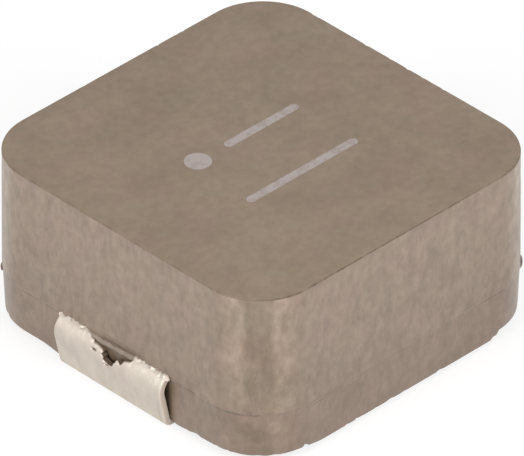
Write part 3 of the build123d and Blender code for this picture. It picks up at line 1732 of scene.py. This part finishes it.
    def _crumble_roots(self) -> None:
        """Crumbles the plating along the two roots."""
        chance = random.Random(self.seed)
        crumbs = [
            Grain(-1.43 * MM, 29.0, 0.085 * MM, 1.0, 0.75),
            Grain(-1.22 * MM, 26.0, 0.055 * MM, 1.3, 0.65),
            Grain(-1.06 * MM, 26.0, 0.060 * MM, 1.4, 0.60),
            Grain(-0.66 * MM, 27.0, 0.070 * MM, 1.6, 0.60),
            Grain(-0.26 * MM, 66.0, 0.032 * MM, 1.3, 0.6),
        ]
        y = -1.46 * MM
        while y < 1.46 * MM:
            if not -0.64 * MM < y < 0.82 * MM:
                size = chance.uniform(0.030, 0.080) * MM
                shape = (chance.uniform(1.0, 2.6), chance.uniform(0.35, 0.60))
                crumbs.append(Grain(y, chance.uniform(14, 34), size, *shape))
            y += chance.uniform(0.06, 0.20) * MM
        with edit_mode(self.piece):
            for crumb in crumbs:
                self._add_grain(crumb, -0.3 * crumb.radius)

    def _skin_over(self) -> None:
        """Turns the strip and its crumbs into one even skin, crinkled near the roots."""
        apply_modifier(self.piece, "REMESH", mode="VOXEL", voxel_size=self.skin, use_smooth_shade=True)
        apply_modifier(self.piece, "SMOOTH", factor=0.5, iterations=3)
        crinkled = weigh(self.piece, "crinkled", lambda place: ramp_step(0.92 * MM, 1.12 * MM, place.z))
        apply_modifier(
            self.piece,
            "DISPLACE",
            texture=cloud_texture(f"crinkle_{self.side.name.lower()}", self.crinkle_grain),
            texture_coords="LOCAL",
            vertex_group=crinkled,
            strength=self.crinkle,
            mid_level=0.5,
        )
        apply_modifier(self.piece, "DECIMATE", ratio=self.kept)
        make_active(self.piece)
        bpy.ops.object.shade_smooth()


@dataclass
class TopMark:
    """Plain marks in pale ink on the top face: a dot at the start of the winding and two bars.

    Attributes:
        top_z: Upper side of the ink.
        film: Thickness of the ink.
        bar_width: Width of a bar.
        ragged: Unevenness of the outlines.
    """

    top_z: float = 3.9495 * MM
    film: float = 0.006 * MM
    bar_width: float = 0.20 * MM
    ragged: float = 0.008 * MM
    piece: bpy.types.Object = field(init=False, default=None)

    def build(self) -> bpy.types.Object:
        """Models the marks.

        Returns:
            The finished piece.
        """
        bars = [self._bar(*mm(0.55, 0.55, 2.0)), self._bar(*mm(0.05, -1.1, 3.0))]
        dot = self._dot(*mm(-1.2, 0.55, 0.28))
        deselect_everything()
        for part in [dot, *bars]:
            part.select_set(True)
        bpy.context.view_layer.objects.active = dot
        bpy.ops.object.join()
        self.piece = dot
        self.piece.name = self.piece.data.name = "top_mark"
        with edit_mode(self.piece):
            pick_edges(lambda edge: edge.calc_length() > self.bar_width)
            bpy.ops.mesh.subdivide(number_cuts=60)
            pick_all()
            bpy.ops.transform.vertex_random(offset=self.ragged, seed=3)
            bpy.ops.transform.resize(value=(1, 1, 0), center_override=(0, 0, self.top_z))
            bpy.ops.mesh.extrude_region_move(TRANSFORM_OT_translate={"value": (0, 0, -self.film)})
            pick_all()
            bpy.ops.mesh.normals_make_consistent(inside=False)
        return self.piece

    def dress(self, ink: bpy.types.Material) -> None:
        """Gives the marks their ink."""
        self.piece.data.materials.append(ink)

    def _bar(self, x: float, y: float, length: float) -> bpy.types.Object:
        """Flat bar along X with rounded ends.

        Args:
            x: Middle of the bar.
            y: Middle of the bar.
            length: Length of the bar.

        Returns:
            The flat mesh object.
        """
        deselect_everything()
        bpy.ops.mesh.primitive_plane_add(size=1.0)
        bar = bpy.context.active_object
        with edit_mode(bar):
            pick_all()
            bpy.ops.transform.resize(value=(length, self.bar_width, 1))
            bpy.ops.transform.translate(value=(x, y, self.top_z))
            bpy.ops.mesh.bevel(offset=self.bar_width * 0.49, segments=8, affect="VERTICES")
        return bar

    def _dot(self, x: float, y: float, radius: float) -> bpy.types.Object:
        """Flat round dot.

        Args:
            x: Middle of the dot.
            y: Middle of the dot.
            radius: Radius of the dot.

        Returns:
            The flat mesh object.
        """
        deselect_everything()
        place = (x, y, self.top_z)
        bpy.ops.mesh.primitive_circle_add(vertices=48, radius=radius, fill_type="NGON", location=place)
        dot = bpy.context.active_object
        bpy.ops.object.transform_apply(location=True)
        return dot


@dataclass(frozen=True)
class Lamp:
    """Square soft lamp that looks at the object.

    Attributes:
        name: Name of the lamp.
        turn: Its direction in degrees, to the right of the camera.
        elevation: Its height as an angle, in degrees.
        size: Side of the lamp.
        level: Light on a facing white surface, where 1 shows it as white.
    """

    name: str
    turn: float
    elevation: float
    size: float
    level: float


@dataclass
class Studio:
    """Floor, lamps, surroundings and camera.

    Attributes:
        azimuth: Direction of the camera, from the front towards +X.
        elevation: Height of the camera as an angle.
        distance: Camera to the point that it looks at.
        focal_pixels: Focal length in pixels of the picture.
        picture_width: Width of the picture in pixels.
        aim_right: Point that the camera looks at, to the right of the middle.
        aim_z: The same, up from the board.
        lamps: The lamps.
        lamp_distance: Lamps to the object.
        surround: Level of the light from all round.
        floor_size: Side of the floor.
        floor_drop: Floor under the board plane.
    """

    azimuth: float = math.radians(-44.465)
    elevation: float = math.radians(35.574)
    distance: float = 258.45 * MM
    focal_pixels: float = 13081.3
    picture_width: float = 524.0
    aim_right: float = 0.0164 * MM
    aim_z: float = 2.0152 * MM
    lamps: tuple[Lamp, ...] = (
        Lamp("lamp_left", -48, 36, 36 * MM, 0.46),
        Lamp("lamp_right", 48, 36, 36 * MM, 0.46),
        Lamp("lamp_top", 0, 82, 60 * MM, 0.12),
    )
    lamp_distance: float = 80.0 * MM
    surround: float = 0.35
    floor_size: float = 400 * MM
    floor_drop: float = 0.002 * MM

    def build(self) -> None:
        """Sets up the whole studio."""
        self._lay_floor()
        self._light_world()
        for lamp in self.lamps:
            self._hang_lamp(lamp)
        self._place_camera()
        bpy.context.scene.view_settings.view_transform = "Standard"

    def _towards(self, azimuth: float, elevation: float) -> Vector:
        """Direction from the object, at an azimuth from the front and an elevation."""
        level = math.cos(elevation)
        return Vector((math.sin(azimuth) * level, -math.cos(azimuth) * level, math.sin(elevation)))

    def _lay_floor(self) -> None:
        """Lays the floor just under the feet."""
        deselect_everything()
        bpy.ops.mesh.primitive_plane_add(size=self.floor_size, location=(0, 0, 0))
        floor = bpy.context.active_object
        floor.name = "floor"
        with edit_mode(floor):
            pick_all()
            bpy.ops.transform.translate(value=(0, 0, -self.floor_drop))
        floor.data.materials.append(FloorFinish("pale_floor", (0.75, 0.75, 0.75), 0.3).make())

    def _light_world(self) -> None:
        """Surrounds the scene with white for the camera and soft grey for the light."""
        world = bpy.data.worlds.new("studio_white")
        bpy.context.scene.world = world
        board = NodeBoard(world, "Background")
        level = board.ranged(board.looked_at(), 0.0, 1.0, self.surround, 1.0)
        board.set(Color=(1.0, 1.0, 1.0), Strength=level)

    def _hang_lamp(self, lamp: Lamp) -> None:
        """Hangs a lamp.

        Args:
            lamp: The lamp and its place.
        """
        light = bpy.data.lights.new(lamp.name, "AREA")
        light.size = lamp.size
        light.energy = lamp.level * (math.pi * self.lamp_distance) ** 2
        holder = bpy.data.objects.new(lamp.name, light)
        bpy.context.scene.collection.objects.link(holder)
        away = self._towards(self.azimuth + math.radians(lamp.turn), math.radians(lamp.elevation))
        holder.location = away * self.lamp_distance
        holder.rotation_euler = away.to_track_quat("Z", "Y").to_euler()

    def _place_camera(self) -> None:
        """Places the camera at the photograph's angle."""
        camera = bpy.data.cameras.new("camera")
        camera.sensor_width = 36.0
        camera.lens = camera.sensor_width * self.focal_pixels / self.picture_width
        holder = bpy.data.objects.new("camera", camera)
        bpy.context.scene.collection.objects.link(holder)
        back = self._towards(self.azimuth, self.elevation)
        right = Vector((math.cos(self.azimuth), math.sin(self.azimuth), 0))
        aim = right * self.aim_right + Vector((0, 0, self.aim_z))
        holder.location = aim + back * self.distance
        holder.rotation_euler = back.to_track_quat("Z", "Y").to_euler()
        bpy.context.scene.camera = holder


def composite_finishes() -> dict[Zone, bpy.types.Material]:
    """Finishes of the block.

    Returns:
        The material of each zone.
    """
    top, wall, lower = (0.241, 0.179, 0.128), (0.290, 0.213, 0.156), (0.266, 0.189, 0.139)
    scuffs = (
        Scuff((-3.38, -3.80, 0.85), 0.18, 0.28),
        Scuff((-3.62, -3.62, 0.66), 0.20, -0.14),
        Scuff((-3.93, -2.97, 0.42), 0.14, 0.14),
        Scuff((-3.75, -3.45, 0.45), 0.09, 0.14),
    )
    walls = {"colour": wall, "lower": lower, "relief": 0.002 * MM, "scuffs": scuffs}
    finishes = {
        Zone.TOP: CompositeFinish("pressed_top", top, 0.075, 0.065, 0.06, 0.0015 * MM, 0.55, 0.0),
        Zone.RIM: RimFinish("worn_rim", shaded(top, 0.95), 0.10, 0.15, 0.2, 0.003 * MM, 0.6, 0.0, 0.45),
        # both wall finishes are painted lighter up towards the rim, as light from above
        # both wall finishes paint sheen bands on the corners
        Zone.WALL: WallFinish(
            "drawn_wall", patch=0.03, mottle=0.07, pore=0.04, roughness=0.5, skin=0.45,
            streak=0.100, painted_light_fade=0.05, sheen_band=0.28, **walls,
        ),
        Zone.LOWER: LowerFinish(
            "lower_wall", patch=0.05, mottle=0.065, pore=0.05, roughness=0.5, skin=0.40,
            streak=0.09, painted_light_fade=0.05, sheen_band=0.06, **walls,
        ),
        Zone.FLASH: CompositeFinish("flash", (0.285, 0.220, 0.174), 0.08, 0.15, 0.2, 0.002 * MM, 0.5, 0.2),
        Zone.BURR: CompositeFinish("burr", shaded(wall, 0.6), 0.08, 0.25, 0.4, 0.002 * MM, 0.5, 0.0),
    }
    return {zone: finish.make() for zone, finish in finishes.items()}


def tin_finish(strap: TerminalStrap) -> bpy.types.Material:
    """Finish of the straps.

    Args:
        strap: One of them, whose bend and width the finish follows.

    Returns:
        The material of both.
    """
    finish = TinFinish(
        "satin_tin",
        colour=(0.625, 0.565, 0.485),
        dull=(0.60, 0.525, 0.46),
        torn=(0.13, 0.09, 0.06),
        soil=(0.22, 0.165, 0.12),
        sheared=(0.80, 0.685, 0.58),
        metal=0.65,
        roughness=0.50,
        relief=0.002 * MM,
        bend_centre=(strap.bend_x / MM, strap.bend_z / MM),
        bend_radius=strap.upper_radius / MM,
        tear_half=1.40,
        half_width=strap.width / 2 / MM,
    )
    return finish.make()


def main() -> None:
    """Builds the block, the straps, the marks and the studio, and reports each piece."""
    logging.basicConfig(level=logging.INFO, format="%(name)s: %(message)s")
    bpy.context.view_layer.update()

    body = MouldedBody()
    body.build()
    body.dress(composite_finishes())
    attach(body.piece, "root")
    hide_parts("moulded_body")
    log.info("block: %d faces", len(body.piece.data.polygons))

    straps = [TerminalStrap(side) for side in Side]
    tin = tin_finish(straps[0])
    for strap in straps:
        strap.build()
        strap.dress(tin)
        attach(strap.piece, "root")
        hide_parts(f"terminal_{strap.side.name.lower()}")
        log.info("%s: %d faces", strap.piece.name, len(strap.piece.data.polygons))

    mark = TopMark()
    mark.build()
    mark.dress(InkFinish("pale_ink", (0.40, 0.345, 0.33), (0.33, 0.27, 0.24)).make())
    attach(mark.piece, "root")
    log.info("top mark: %d faces", len(mark.piece.data.polygons))

    copper = CopperFinish("enamelled_copper", (0.62, 0.29, 0.14), (0.45, 0.18, 0.07)).make()
    winding = frame["nodes"]["coil"]
    winding.data.materials.clear()
    winding.data.materials.append(copper)
    log.info("winding: its solid, in copper")

    Studio().build()


if __name__ == "__main__":
    main()
